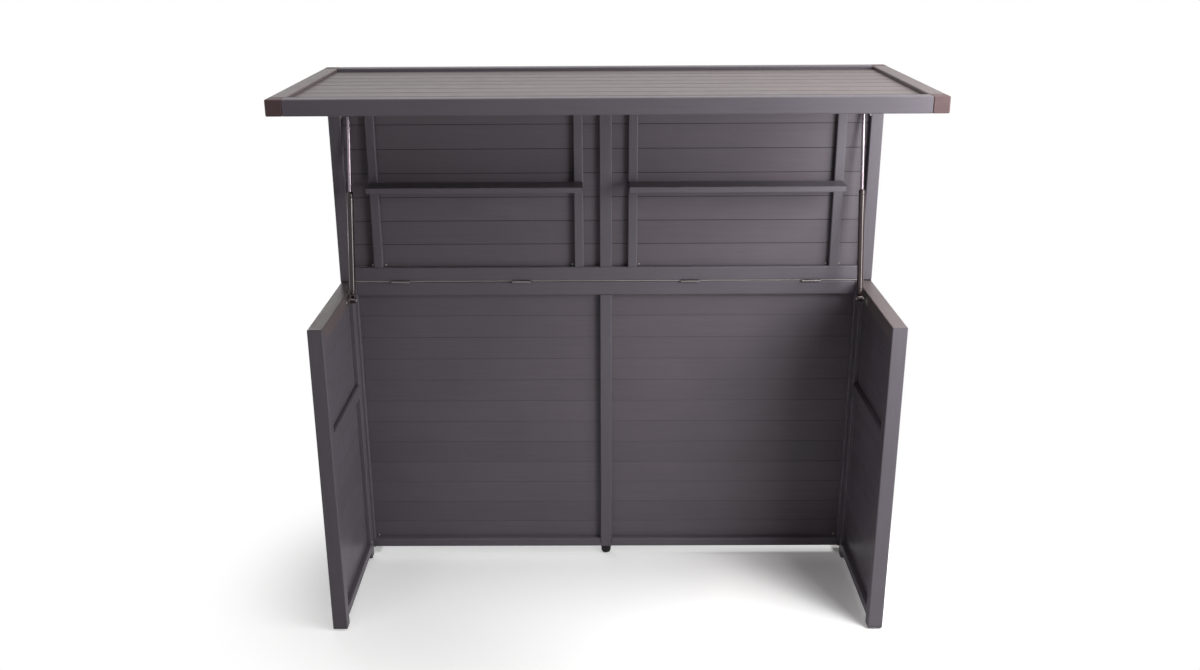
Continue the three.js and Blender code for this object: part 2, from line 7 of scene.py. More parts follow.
import bmesh
import bpy
import numpy as np
from bpy.props import FloatProperty, FloatVectorProperty, IntProperty, PointerProperty
from mathutils import Matrix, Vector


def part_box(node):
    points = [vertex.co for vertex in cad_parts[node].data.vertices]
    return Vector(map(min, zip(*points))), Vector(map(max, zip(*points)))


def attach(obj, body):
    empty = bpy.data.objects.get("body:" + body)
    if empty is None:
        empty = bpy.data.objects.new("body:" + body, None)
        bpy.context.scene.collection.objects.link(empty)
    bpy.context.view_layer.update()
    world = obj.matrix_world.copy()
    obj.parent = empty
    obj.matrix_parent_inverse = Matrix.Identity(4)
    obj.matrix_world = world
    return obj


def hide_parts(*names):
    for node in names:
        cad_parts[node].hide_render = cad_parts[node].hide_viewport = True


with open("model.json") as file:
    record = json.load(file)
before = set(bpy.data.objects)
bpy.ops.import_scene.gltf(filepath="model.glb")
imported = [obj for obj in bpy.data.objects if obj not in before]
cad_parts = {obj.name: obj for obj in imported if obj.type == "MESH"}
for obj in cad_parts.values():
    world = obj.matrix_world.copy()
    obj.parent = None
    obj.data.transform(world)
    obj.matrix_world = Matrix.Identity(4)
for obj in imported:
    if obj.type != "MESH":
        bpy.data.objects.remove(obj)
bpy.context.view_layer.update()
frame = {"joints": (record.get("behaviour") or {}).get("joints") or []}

bl_info = {
    "name": "Slatted bar unit",
    "version": (1, 0, 0),
    "blender": (4, 5, 0),
    "location": "3D View > Sidebar > Bar unit",
    "description": "Builds the looks of a slatted aluminium bar unit around its packed frame",
    "category": "Object",
}

SIDES = (("left", -1), ("right", 1))
QUARTER = np.pi / 2
GAP = 0.0002  # between tubes that butt, and how far the bearers reach into the slats
TINY = 1e-5  # the least size that keeps a rounded ring from closing


# Sizes and colours


def rgb(code):
    """The linear colour of a six-digit sRGB code: v / 12.92 where it is dark, else ((v + 0.055) / 1.055) to
    the power of 2.4."""
    value = np.array([int(code[k:k + 2], 16) for k in (0, 2, 4)]) / 255
    return tuple(np.where(value < 0.04045, value / 12.92, ((value + 0.055) / 1.055) ** 2.4))


def length(name, description, default):
    """A property for a length in metres."""
    return FloatProperty(
        name=name, description=description, default=default, min=0, precision=5, unit="LENGTH"
    )


def number(name, description, default):
    """A property for a share or another plain number."""
    return FloatProperty(name=name, description=description, default=default)


def angle(name, description, default):
    """A property for an angle in radians."""
    return FloatProperty(name=name, description=description, default=default, subtype="ANGLE")


def power(name, description, default):
    """A property for a lamp's power in watts."""
    return FloatProperty(name=name, description=description, default=default, unit="POWER")


def tint(name, description, code):
    """A property for a colour, given by its sRGB code."""
    return FloatVectorProperty(
        name=name, description=description, default=rgb(code), min=0, max=1, subtype="COLOR"
    )


class BarSizes(bpy.types.PropertyGroup):
    """Sizes that the frame's nodes don't say by themselves."""

    tube_corner: length("Tube corner", "Radius of the tubes' long edges", 0.0025)
    cut_edge: length("Cut edge", "Radius of the tubes' sawn ends", 0.0005)
    groove_width: length("Groove width", "Width of the groove between two planks", 0.0013)
    groove_depth: length("Groove depth", "Depth of the groove between two planks", 0.0004)
    slat_groove: length("Slat groove", "Width of the groove between two slats", 0.004)
    slat_depth: length("Slat groove depth", "Depth of the groove between two slats", 0.00336)
    wing_groove: length("Wing groove", "Width of the groove between two planks of a wing", 0.0008)
    wall_pitch: length("Wall plank", "Height of a plank of the wall and the wings", 0.0501)
    wall_first: length("Lowest wall plank", "Height of the lowest plank of the wall and the wings", 0.0402)
    flap_pitch: length("Flap plank", "Height of a plank of the flap", 0.051)
    flap_first: length("Lowest flap plank", "Height of the lowest plank of the flap", 0.0482)
    slat_thickness: length("Slat thickness", "Thickness of the slats", 0.008)
    slat_count: IntProperty(name="Slats", description="Number of slats in the counter", default=8, min=1)
    rim: length("Rim tube", "Side of the counter's rim tubes", 0.03)
    cap_round: length("Cap rounding", "Radius of the corner caps' edges", 0.0022)
    rod: length("Rod radius", "Radius of the strut's rod", 0.0034)
    cylinder: length("Cylinder radius", "Radius of the strut's cylinder", 0.0066)
    cylinder_share: number("Cylinder share", "Share of the strut's length where the cylinder ends", 0.576)
    knuckle: length("Knuckle radius", "Radius of the hinge's knuckles", 0.0028)
    plug: length("Plug thickness", "Thickness of the plugs in the tubes' open ends", 0.0008)
    screw: length("Bracket screw", "Radius of the screw heads on the wings' brackets", 0.0034)
    plate_screw: length("Plate screw", "Radius of the screw heads on the flap's plates", 0.00289)
    small_screw: length("Small screw", "Radius of the screw heads on planks and posts", 0.00204)
    wall_screw: length("Wall screw place", "Distance of the wall's screws from the middle", 0.528)


class BarFinish(bpy.types.PropertyGroup):
    """Colours of the finishes, and the painted shade in the seams between boards."""

    coat: tint("Frame coat", "Powder coat of the tubes and shelves", "575259")
    # Painted light: the next tone is the frame's powder coat made warmer, for the warm light from above that
    # falls on the tops of the rails running front to back.
    warm_lit_rails: tint("Runner coat", "Powder coat of the top rails that run from front to back", "5d5455")
    planks: tint("Plank coat", "Powder coat of the planks", "575157")
    # Painted light: the slats take the frame's powder coat made warmer and lighter, for the warm light that
    # falls on the counter's top from above.
    slats: tint("Slat coat", "Powder coat of the counter's slats", "655d5e")
    caps: tint("Corner caps", "Moulded corner caps", "4b3a3b")
    plastic: tint("Plastic", "Feet and plugs", "1d1b1d")
    steel: tint("Plated steel", "Ball studs and small screws", "a39c98")
    hinge: tint("Dull steel", "Hinges, brackets and plates", "7d7777")
    # Painted highlight: the strip along the flap's foot is lighter than the coat, for the light that the
    # rail's edge catches in the seam.
    seam: tint("Seam edge", "Bare edge along the flap's foot", "96908c")
    enamel: tint("Cylinder enamel", "Gloss enamel of the strut's cylinder", "2a1b1c")
    chrome: tint("Chrome", "Chrome of the strut's rod", "8b8088")
    # Painted shade: the seam lines are darker bands along each seam that stand in for the grooves' shadow.
    wall_line: number("Wall line", "Half width of the wall's dark seam lines, in groove widths", 1 / 3)
    wall_seam_shade: number("Wall dirt", "Share of the tone that is left in the middle of those lines", 0.35)
    board_line: number("Board line", "Half width of the flap's and slats' lines, in groove widths", 0.75)
    board_seam_shade: number("Board dirt", "Share of the tone that is left in the middle of those lines", 0.2)


class BarStage(bpy.types.PropertyGroup):
    """Camera, lamps and floor."""

    camera_place: FloatVectorProperty(
        name="Camera", description="Place of the camera", default=(-0.01775, -2.2938, 1.38175),
        subtype="TRANSLATION",
    )
    camera_yaw: angle("Yaw", "Turn to the left", 0.0064)
    camera_pitch: angle("Pitch", "Tilt of the view, upwards where it is above nought", -0.329)
    camera_roll: angle("Roll", "Roll of the camera about its line of sight", -0.0059)
    camera_lens: number("Lens", "Focal length in millimetres", 34.83)
    camera_shift: FloatVectorProperty(
        name="Shift", description="Shift of the picture", size=2, default=(0.00786, -0.00936)
    )
    key_power: power("Key", "Power of the near lamp at the right", 17)
    low_power: power("Low", "Power of the low lamp in front", 13.8)
    top_power: power("Top", "Power of the high lamp at the right", 20.5)
    fill_power: power("Fill", "Power of the high lamp at the left", 14.3)
    back_power: power("Back", "Power of the lamp behind", 12)
    sky: number("Sky", "Strength of the plain world light", 0.01)
    floor: tint("Floor", "Colour of the floor as it lights the unit", "f2f2f2")
    floor_tone: number("Floor tone", "Brightness of the floor in the picture", 1.18)
    # Painted light: plain white laid on the floor under the wall, where the wall's shade falls.
    painted_glow: number("Glow", "Share of plain white on the floor under the wall", 0.5)
    fade: FloatVectorProperty(
        name="Fade", description="Half width and half depth of the floor's shaded ellipse", size=2,
        default=(0.76, 0.55),
    )
    fade_middle: number("Fade middle", "Place of the shaded ellipse's middle along X", 0.05)
    fade_start: number("Fade start", "Share of the ellipse where the floor starts to turn white", 0.6)
    fade_end: number("Fade end", "Share of the ellipse where the floor is plain white", 1.25)


# Surfaces: each is a grid of rings of points, ring after ring along its run


def rounded_ring(first, second, radius, steps=5):
    """Points round a rectangle: each corner's centre plus the radius times (cos a, sin a)."""
    a = np.linspace(0, QUARTER, steps + 1)[None, :] + np.arange(4)[:, None] * QUARTER
    across = np.array([1, -1, -1, 1])[:, None] * (first / 2 - radius) + radius * np.cos(a)
    up = np.array([1, 1, -1, -1])[:, None] * (second / 2 - radius) + radius * np.sin(a)
    return np.stack([across.ravel(), up.ravel()], 1)


def rounded_ends(span, edge, steps=3):
    """Stations along a run, edge (1 - cos a) from each end, and how far the section draws in there:
    edge (1 - sin a)."""
    a = np.linspace(0, QUARTER, steps + 1)
    along, inset = edge * (1 - np.cos(a)), edge * (1 - np.sin(a))
    return np.concatenate([along, span - along[::-1]]), np.concatenate([inset, inset[::-1]])


def laid(first, second, along, run):
    """Points with (first, second, along) turned so that along lies on axis run and the others follow it."""
    grid = np.empty(along.shape + (3,))
    grid[..., run], grid[..., (run + 1) % 3], grid[..., (run + 2) % 3] = along, first, second
    return grid


def bar(low, high, run, radius, edge, cut_low=None, cut_high=None, steps=5):
    """A straight bar in a box: rounded rings carried along its run, drawn in at both ends by quarter circles.

    A cut moves an end back by cut(first, second) at each point of the ring, which mitres it.
    """
    low, high = np.array(low, float), np.array(high, float)
    one, two = (run + 1) % 3, (run + 2) % 3
    size = high - low
    stations, insets = rounded_ends(size[run], edge)
    radius = min(radius, size[one] / 2 - TINY, size[two] / 2 - TINY)
    rings = np.array([
        rounded_ring(size[one] - 2 * d, size[two] - 2 * d, max(radius - d, TINY), steps) for d in insets
    ])
    first = rings[..., 0] + (low[one] + high[one]) / 2
    second = rings[..., 1] + (low[two] + high[two]) / 2
    along = np.repeat(stations[:, None], rings.shape[1], 1) + low[run]
    half = len(stations) // 2
    if cut_low:
        along[:half] += cut_low(first[:half], second[:half])
    if cut_high:
        along[half:] -= cut_high(first[half:], second[half:])
    return laid(first, second, along, run)


def turned(profile, sides=40, run=2, place=(0, 0, 0)):
    """A profile of (radius, station) pairs turned about an axis: radius (cos a, sin a) at each station."""
    radius, station = np.array(profile, float).T
    a = np.linspace(0, 2 * np.pi, sides, endpoint=False)
    first, second = radius[:, None] * np.cos(a), radius[:, None] * np.sin(a)
    along = np.repeat(station[:, None], sides, 1)
    return laid(first, second, along, run) + np.array(place, float)


def rounded_rod(radius, start, end, edge, sides=32, run=2, place=(0, 0, 0)):
    """A round bar with quarter-circle edges at both ends."""
    stations, insets = rounded_ends(end - start, edge)
    return turned(np.stack([radius - insets, start + stations], 1), sides, run, place)


def ball(radius, place, run=2, sides=24, rings=14, pole=0.02):
    """A sphere: radius (sin b) at station -radius (cos b), with b from near one pole to near the other."""
    b = np.linspace(pole, np.pi - pole, rings)
    return turned(np.stack([radius * np.sin(b), -radius * np.cos(b)], 1), sides, run, place)


def groove(height, seams, width, depth):
    """How deep the face lies at each height: depth times half of 1 + cos(pi times the share), where the share
    is the distance from a seam over the groove's half width, at most 1."""
    share = np.abs(height[:, None] - seams[None, :]) / (width / 2)
    return (depth / 2 * (1 + np.cos(np.pi * np.minimum(share, 1)))).max(1)


def plank_panel(low, high, run, up, seams, width, depth, steps=13, inside=3e-4):
    """Planks side by side: a section whose two faces sink at every seam, carried along the run.

    A ring just inside each end keeps the end face from bending the light in the grooves.
    """
    low, high = np.array(low, float), np.array(high, float)
    across = 3 - run - up
    near = np.linspace(-0.5, 0.5, steps) * width
    heights = np.sort(np.concatenate([[low[up], high[up]], (low[up] + seams[:, None] + near).ravel()]))
    sink = groove(heights, low[up] + seams, width, depth)
    stations = np.array([low[run], low[run] + inside, high[run] - inside, high[run]])
    grid = np.empty((len(stations), 2 * len(heights), 3))
    grid[..., up] = np.concatenate([heights, heights[::-1]])
    grid[..., across] = np.concatenate([low[across] + sink, high[across] - sink[::-1]])
    grid[..., run] = stations[:, None]
    return grid


def seams_of(span, first, pitch):
    """Heights of the seams above a panel's foot: first, then one more each pitch."""
    return first + pitch * np.arange(round((span - first) / pitch))


def screw(place, run, way, radius, sides=30):
    """A button head: rings that rise over a dome, given as shares of its radius and height, then a six-sided
    pocket. At angle a its wall lies at the corner's radius times cos(30 degrees) / cos(b), with b the angle
    from the middle of that side."""
    dome_share = 0.55
    ring_shares, pocket_shares = (1, 1, 0.93, 0.8, 0.62, 0.5), (0.44, 0.42)
    ring_levels, pocket_levels = (0, 0.12, 0.3, 0.55, 0.78, 0.86), (0.84, 0.2)
    a = np.linspace(0, 2 * np.pi, sides, endpoint=False)
    six = np.cos(np.pi / 6) / np.cos(a % (np.pi / 3) - np.pi / 6)
    round_part = radius * np.array(ring_shares)[:, None] * np.ones(sides)
    six_part = radius * np.array(pocket_shares)[:, None] * six
    radii = np.concatenate([round_part, six_part])
    heights = dome_share * radius * np.array(ring_levels + pocket_levels)[:, None] * np.ones(sides)
    return laid(radii * np.cos(a), radii * np.sin(a), heights * way, run) + np.array(place, float)


# Meshes and pieces


def grid_faces(rows, columns, start):
    """Quads between neighbouring rings, each ring closed on itself, and the two end rings filled."""
    i, j = np.arange(rows - 1)[:, None] * columns, np.arange(columns)[None, :]
    k = (j + 1) % columns
    quads = np.stack([i + j, i + k, i + columns + k, i + columns + j], -1).reshape(-1, 4) + start
    last = start + (rows - 1) * columns + np.arange(columns)
    return quads.tolist() + [(start + np.arange(columns)[::-1]).tolist(), last.tolist()]


def piece(name, grids, finish, body, nodes=()):
    """Makes one object of several surfaces, gives it its finish and body, and lets it stand for its nodes.

    Normals are weighed by the faces' area, so that flat faces look flat beside their rounded edges.
    """
    points, faces, start = [], [], 0
    for grid in grids:
        rows, columns = grid.shape[:2]
        points.append(grid.reshape(-1, 3))
        faces += grid_faces(rows, columns, start)
        start += rows * columns
    mesh = bpy.data.meshes.new(name)
    mesh.from_pydata(np.concatenate(points).tolist(), [], faces)
    made = bmesh.new()
    made.from_mesh(mesh)
    bmesh.ops.recalc_face_normals(made, faces=made.faces)
    made.to_mesh(mesh)
    made.free()
    mesh.polygons.foreach_set("use_smooth", np.ones(len(mesh.polygons), bool))
    mesh.materials.append(finish)
    item = bpy.data.objects.new(name, mesh)
    bpy.context.scene.collection.objects.link(item)
    modifier = item.modifiers.new("Flat faces", "WEIGHTED_NORMAL")
    modifier.weight = 100
    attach(item, body)
    if nodes:
        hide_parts(*nodes)
    return item


def spot(node):
    """A node's lowest and highest corner as arrays."""
    low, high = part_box(node)
    return np.array(low), np.array(high)


# Finishes


def node_adder(tree):
    """A helper that adds nodes to a tree: settings become a node's attributes, and each input is wired where
    its value is an output, else set. An underscore and a number stand for the input's place in the list."""

    def add(kind, settings=None, **inputs):
        """Adds one node."""
        node = tree.nodes.new(kind)
        for key, value in (settings or {}).items():
            setattr(node, key, value)
        for key, value in inputs.items():
            socket = node.inputs[int(key[1:]) if key[0] == "_" else key]
            if isinstance(value, bpy.types.NodeSocket):
                tree.links.new(value, socket)
            else:
                socket.default_value = value
        return node

    return add


def new_material(name):
    """A new material with its Principled surface and node helper, or a finished one with neither."""
    material = bpy.data.materials.get(name)
    if material:
        return material, None, None
    material = bpy.data.materials.new(name)
    material.use_nodes = True
    tree = material.node_tree
    return material, tree.nodes["Principled BSDF"], node_adder(tree)


def link(shader, **sockets):
    """Wires outputs to the shader's sockets, named with underscores for blanks."""
    tree = shader.id_data
    for name, output in sockets.items():
        tree.links.new(output, shader.inputs[name.replace("_", " ")])


def noise(add, where, waves, detail=2.0, low=0.0, high=1.0, stretch=None):
    """Noise of so many waves a metre, whose values from 0.3 to 0.7 are spread between low and high. Stretch
    gives each axis its share of the waves."""
    if stretch:
        where = add("ShaderNodeMapping", Vector=where, Scale=stretch).outputs[0]
    wave = add("ShaderNodeTexNoise", Vector=where, Scale=waves, Detail=detail).outputs[0]
    span = {"From Min": 0.3, "From Max": 0.7, "To Min": low, "To Max": high}
    return add("ShaderNodeMapRange", {"clamp": True}, Value=wave, **span).outputs[0]


def mottle(add, where, waves, spread, detail=3, stretch=None):
    """Noise that strays from one by at most the spread, to either side."""
    return noise(add, where, waves, detail, 1 - spread, 1 + spread, stretch)


def maths(add, operation, first, second):
    """One of the maths node's operations on two values."""
    return add("ShaderNodeMath", {"operation": operation}, _0=first, _1=second).outputs[0]


def product(add, *factors):
    """The product of several factors."""
    whole = factors[0]
    for factor in factors[1:]:
        whole = maths(add, "MULTIPLY", whole, factor)
    return whole


def shaded(add, colour, factor):
    """A colour made brighter or darker by a factor that changes over the surface."""
    plain = tuple(colour)[:3]
    return add("ShaderNodeVectorMath", {"operation": "SCALE"}, Vector=plain, Scale=factor).outputs[0]


def board_tone(add, where, boards, line, seam_shade, spread=0.045):
    """A random tone for the number of each board. Boards are given as (axis, foot, first, pitch), and the
    number is the whole part of the height above the foot, counted in pitches.

    With a line, that tone is also darkened along each seam by painted shade that stands in for the
    groove's shadow: it is multiplied by the given share in the line's core, and from there by a share
    that rises smoothly to one at the line's half width.
    """
    axis, foot, first, pitch = boards
    height = add("ShaderNodeSeparateXYZ", Vector=where).outputs[axis]
    count = maths(add, "DIVIDE", maths(add, "SUBTRACT", height, foot + first - pitch), pitch)
    index = add("ShaderNodeMath", {"operation": "FLOOR"}, _0=count).outputs[0]
    dice = add("ShaderNodeTexWhiteNoise", {"noise_dimensions": "1D"}, W=index).outputs["Value"]
    ends = {"To Min": 1 - spread, "To Max": 1 + spread}
    own = add("ShaderNodeMapRange", Value=dice, **ends).outputs[0]
    if not line:
        return own
    # Painted shade: a darker line along each seam stands in for the shadow in the groove.
    away, core = maths(add, "PINGPONG", count, 0.5), 0.3 * line
    ends = {"From Min": core / pitch, "From Max": line / pitch, "To Min": seam_shade, "To Max": 1.0}
    painted_seam_shade = add("ShaderNodeMapRange", {"interpolation_type": "SMOOTHSTEP"}, Value=away, **ends).outputs[0]
    return product(add, own, painted_seam_shade)


def coated(name, colour, rough=0.38, grain=(1, 1, 1), boards=None, line=0.0, seam_shade=1.0):
    """Powder coat on aluminium: faint clouds and draw lines in its tone, and a fine pebbled skin. Boards
    have a tone of their own each, and a line of painted shade along their seams that stands in for the
    grooves' shadow."""
    material, shader, add = new_material(name)
    if add is None:
        return material
    where = add("ShaderNodeTexCoord").outputs["Object"]
    clouds = mottle(add, where, waves=7, spread=0.035)
    lines = mottle(add, where, waves=220, spread=0.035, stretch=grain)
    specks = mottle(add, where, waves=1400, spread=0.045, detail=1)
    tone = product(add, clouds, lines, specks)
    if boards:
        tone = product(add, tone, board_tone(add, where, boards, line, seam_shade))
    skin = noise(add, where, waves=900, detail=2)
    dust = noise(add, where, waves=30, detail=4, low=rough - 0.02, high=rough + 0.03)
    bump = add("ShaderNodeBump", Strength=0.22, Distance=0.0003, Height=skin)
    link(shader, Base_Color=shaded(add, colour, tone), Roughness=dust, Normal=bump.outputs[0])
    shader.inputs["Specular IOR Level"].default_value = 0.18
    return material


def moulded(name, colour, rough):
    """Moulded plastic: a fine grained skin and slight clouds in its tone."""
    material, shader, add = new_material(name)
    if add is None:
        return material
    where = add("ShaderNodeTexCoord").outputs["Object"]
    clouds = mottle(add, where, waves=60, spread=0.07)
    specks = mottle(add, where, waves=1500, spread=0.06, detail=1)
    tone = product(add, clouds, specks)
    skin = noise(add, where, waves=1600, detail=2)
    bump = add("ShaderNodeBump", Strength=0.3, Distance=0.0002, Height=skin)
    dust = noise(add, where, waves=45, detail=3, low=rough - 0.05, high=rough + 0.08)
    link(shader, Base_Color=shaded(add, colour, tone), Roughness=dust, Normal=bump.outputs[0])
    shader.inputs["Specular IOR Level"].default_value = 0.22
    return material


def metal(name, colour, rough, scratch=0.0, metallic=1.0, shine=0.5, edge=1.0):
    """Bright metal or gloss enamel: fine scratches along Z and patches of slightly duller polish. Edge is the
    share of light that it keeps where it turns away from the eye."""
    material, shader, add = new_material(name)
    if add is None:
        return material
    where = add("ShaderNodeTexCoord").outputs["Object"]
    tone = mottle(add, where, waves=35, spread=0.05)
    patches = noise(add, where, waves=12, detail=3, low=rough * 0.9, high=rough * 1.15)
    link(shader, Base_Color=shaded(add, colour, tone), Roughness=patches)
    if scratch:
        marks = noise(add, where, waves=2600, detail=2, stretch=(1, 1, 0.03))
        bump = add("ShaderNodeBump", Strength=scratch, Distance=0.0001, Height=marks)
        link(shader, Normal=bump.outputs[0])
    shader.inputs["Metallic"].default_value = metallic
    shader.inputs["Specular IOR Level"].default_value = shine
    shader.inputs["Specular Tint"].default_value = (edge, edge, edge, 1)
    return material


def finishes(scene):
    """Every finish by a short name. Draw lines follow the axis that the name says, or the boards' own run."""
    tones, sizes = scene.bar_finish, scene.bar_sizes
    foot_wall = spot("wall_planks")[0][2]
    foot_flap = spot("flap_planks")[0][2]
    slats_low, slats_high = spot("counter_slats")
    slat = (slats_high[1] - slats_low[1]) / sizes.slat_count
    along = {"x": (0.04, 1, 1), "y": (1, 0.04, 1), "z": (1, 1, 0.04)}
    wall = (2, foot_wall, sizes.wall_first, sizes.wall_pitch)
    flap = (2, foot_flap, sizes.flap_first, sizes.flap_pitch)
    top = (1, slats_low[1], slat, slat)
    # Half widths of the painted seam shade on the wall, the flap and the slats.
    wall_line = tones.wall_line * sizes.groove_width
    flap_line = tones.board_line * sizes.groove_width
    slat_line = tones.board_line * sizes.slat_groove
    return {
        "frame_x": coated("Coated tube along X", tones.coat, grain=along["x"]),
        "frame_y": coated("Coated tube along Y", tones.coat, grain=along["y"]),
        # Painted light from above, as a warmer copy of the frame coat for the rails that run front to back.
        "runner": coated("Coated top rails", tones.warm_lit_rails, grain=along["y"]),
        "frame_z": coated("Coated tube along Z", tones.coat, grain=along["z"]),
        "wall": coated(
            "Wall planks", tones.planks, grain=along["x"], boards=wall, line=wall_line, seam_shade=tones.wall_seam_shade
        ),
        "wing": coated("Wing planks", tones.coat, grain=along["y"], boards=wall),
        "flap": coated(
            "Flap planks", tones.planks, grain=along["x"], boards=flap, line=flap_line, seam_shade=tones.board_seam_shade
        ),
        # The slats' tone holds painted light from above, and their seam lines are painted shade.
        "slats": coated(
            "Counter slats", tones.slats, rough=0.4, grain=along["x"], boards=top, line=slat_line,
            seam_shade=tones.board_seam_shade,
        ),
        # Painted highlight for the seam under the flap.
        "seam": coated("Bare seam edge", tones.seam, rough=0.45, grain=along["x"]),
        "caps": moulded("Corner cap plastic", tones.caps, rough=0.5),
        "plastic": moulded("Foot plastic", tones.plastic, rough=0.6),
        "steel": metal("Plated steel", tones.steel, rough=0.32, scratch=0.25),
        "hinge": metal("Dull steel", tones.hinge, rough=0.4, scratch=0.25),
        "enamel": metal("Strut enamel", tones.enamel, rough=0.09, metallic=0.0, shine=0.45),
        "chrome": metal("Strut chrome", tones.chrome, rough=0.27, edge=0.15),
    }


# Pieces of the unit


class BAR_OT_tubes(bpy.types.Operator):
    """Tubes of the wall, the wings, the flap and the counter, with rounded edges and mitred corners"""

    bl_idname = "bar.tubes"
    bl_label = "Tubes"

    def execute(self, context):
        """Fills each straight tube's box with a rounded bar, then makes the mitred and the notched ones."""
        sizes, look = context.scene.bar_sizes, finishes(context.scene)
        corner, edge = sizes.tube_corner, sizes.cut_edge
        plain = {
            "frame": {
                2: ["wall_end_post_left", "wall_end_post_right", "wall_centre_post"],
                0: ["wall_top_rail"],
                1: [f"wing_{part}_rail_{side}" for part in ("mid", "bottom") for side, _ in SIDES],
            },
            "flap": {
                2: ["flap_end_post_left", "flap_end_post_right", "flap_centre_post"]
                + [f"{part}_upright_{side}" for part in ("inner", "outer") for side, _ in SIDES],
                0: ["flap_top_rail", "flap_bottom_rail", "counter_front_rail", "counter_back_rail"],
                1: ["counter_side_rail_left", "counter_side_rail_right"],
            },
        }
        for body, runs in plain.items():
            for run, names in runs.items():
                for name in names:
                    tube = bar(*spot(name), run, corner, edge)
                    # The counter's side rails take the frame coat made warmer: painted light from above.
                    finish = look["runner" if "side_rail" in name else "frame_" + "xyz"[run]]
                    piece(f"{name}_tube", [tube], finish, body, [name])
        for side, _ in SIDES:
            self.mitred_corner(side, corner, edge, look)
        self.notched_rail(corner, edge, look)
        return {"FINISHED"}

    def mitred_corner(self, side, corner, edge, look):
        """Posts and top rail of a wing. The cut's slope is the rail's height over the post's depth. The
        rail's ends fall back by the depth under its top face over the slope, and a post's top falls by the
        distance from its outer face times the slope."""
        name = f"wing_top_rail_{side}"
        low, high = spot(name)
        post_low, post_high = spot(f"wing_front_post_{side}")
        slope = (high[2] - low[2]) / (post_high[1] - post_low[1])

        def rail_cut(z, x):
            """How far the rail's end falls back at height z."""
            return (high[2] - z) / slope

        rail = bar(low, high, 1, corner, edge, rail_cut, rail_cut)
        # The wing's top rail takes the frame coat made warmer: painted light from above.
        piece(f"{name}_tube", [rail], look["runner"], "frame", [name])
        for word in ("front", "back"):
            name = f"wing_{word}_post_{side}"
            near, far = spot(name)
            outer = near[1] if word == "front" else far[1]
            post = bar(near, far, 2, corner, edge, None, lambda x, y, at=outer: np.abs(y - at) * slope)
            piece(f"{name}_tube", [post], look["frame_z"], "frame", [name])

    def notched_rail(self, corner, edge, look):
        """The wall's bottom rail: a full tube on each side of the centre post, and a slimmer one behind the
        post that laps a little over both."""
        name, lap, back_corner = "wall_bottom_rail", 0.002, 0.0005
        low, high = spot(name)
        post_low, post_high = spot("wall_centre_post")
        left = bar(low, [post_low[0] - GAP, high[1], high[2]], 0, corner, edge)
        right = bar([post_high[0] + GAP, low[1], low[2]], high, 0, corner, edge)
        near = [post_low[0] - lap, post_high[1] + GAP, low[2]]
        far = [post_high[0] + lap, high[1], high[2]]
        back = bar(near, far, 0, back_corner, edge)
        piece(f"{name}_tube", [left, right, back], look["frame_x"], "frame", [name])


class BAR_OT_planks(bpy.types.Operator):
    """Planks of the wall, the wings and the flap, with a rounded groove between neighbours"""

    bl_idname = "bar.planks"
    bl_label = "Planks"

    def execute(self, context):
        """Fills each panel's box with planks of its pitch. No groove is deeper than it is wide."""
        sizes, look = context.scene.bar_sizes, finishes(context.scene)
        wall, flap = (sizes.wall_first, sizes.wall_pitch), (sizes.flap_first, sizes.flap_pitch)
        for name, run, (first, pitch), finish, body in (
            ("wall_planks", 0, wall, "wall", "frame"),
            ("wing_planks_left", 1, wall, "wing", "frame"),
            ("wing_planks_right", 1, wall, "wing", "frame"),
            ("flap_planks", 0, flap, "flap", "flap"),
        ):
            low, high = spot(name)
            seams = seams_of(high[2] - low[2], first, pitch)
            width = sizes.wing_groove if finish == "wing" else sizes.groove_width
            panel = plank_panel(low, high, run, 2, seams, width, min(width, sizes.groove_depth))
            piece(f"{name}_boards", [panel], look[finish], body, [name])
        return {"FINISHED"}


class BAR_OT_counter(bpy.types.Operator):
    """Slats, bearers and corner caps of the counter"""

    bl_idname = "bar.counter"
    bl_label = "Counter"

    def execute(self, context):
        """The slats share the counter's depth equally, and a bearer stands over each post of the flap."""
        sizes, look = context.scene.bar_sizes, finishes(context.scene)
        low, high = spot("counter_slats")
        slat = (high[1] - low[1]) / sizes.slat_count
        seams = slat * np.arange(1, sizes.slat_count)
        foot = [low[0], low[1], high[2] - sizes.slat_thickness]
        panel = plank_panel(foot, high, 0, 1, seams, sizes.slat_groove, sizes.slat_depth)
        left, right = spot("flap_end_post_left"), spot("flap_end_post_right")
        half = (left[1][0] - left[0][0]) / 2
        bearers = []
        for x in (left[0][0] + half, 0, right[1][0] - half):
            near, far = [x - half, low[1], low[2]], [x + half, high[1], foot[2] + GAP]
            bearers.append(bar(near, far, 1, sizes.tube_corner, sizes.cut_edge))
        piece("counter_slat_boards", [panel], look["slats"], "flap", ["counter_slats"])
        piece("counter_bearers", bearers, look["frame_y"], "flap")
        self.caps(sizes, look)
        return {"FINISHED"}

    def caps(self, sizes, look):
        """A rounded cube of the rim's size in each corner of the box that the corner caps fill."""
        low, high = spot("corner_cap_front_left")[0], spot("corner_cap_back_right")[1]
        for word, y in (("front", low[1]), ("back", high[1] - sizes.rim)):
            for side, x in (("left", low[0]), ("right", high[0] - sizes.rim)):
                corner = np.array([x, y, high[2] - sizes.rim])
                cube = bar(corner, corner + sizes.rim, 2, sizes.cap_round, sizes.cap_round, steps=6)
                name = f"corner_cap_{word}_{side}"
                piece(f"{name}_moulding", [cube], look["caps"], "flap", [name])


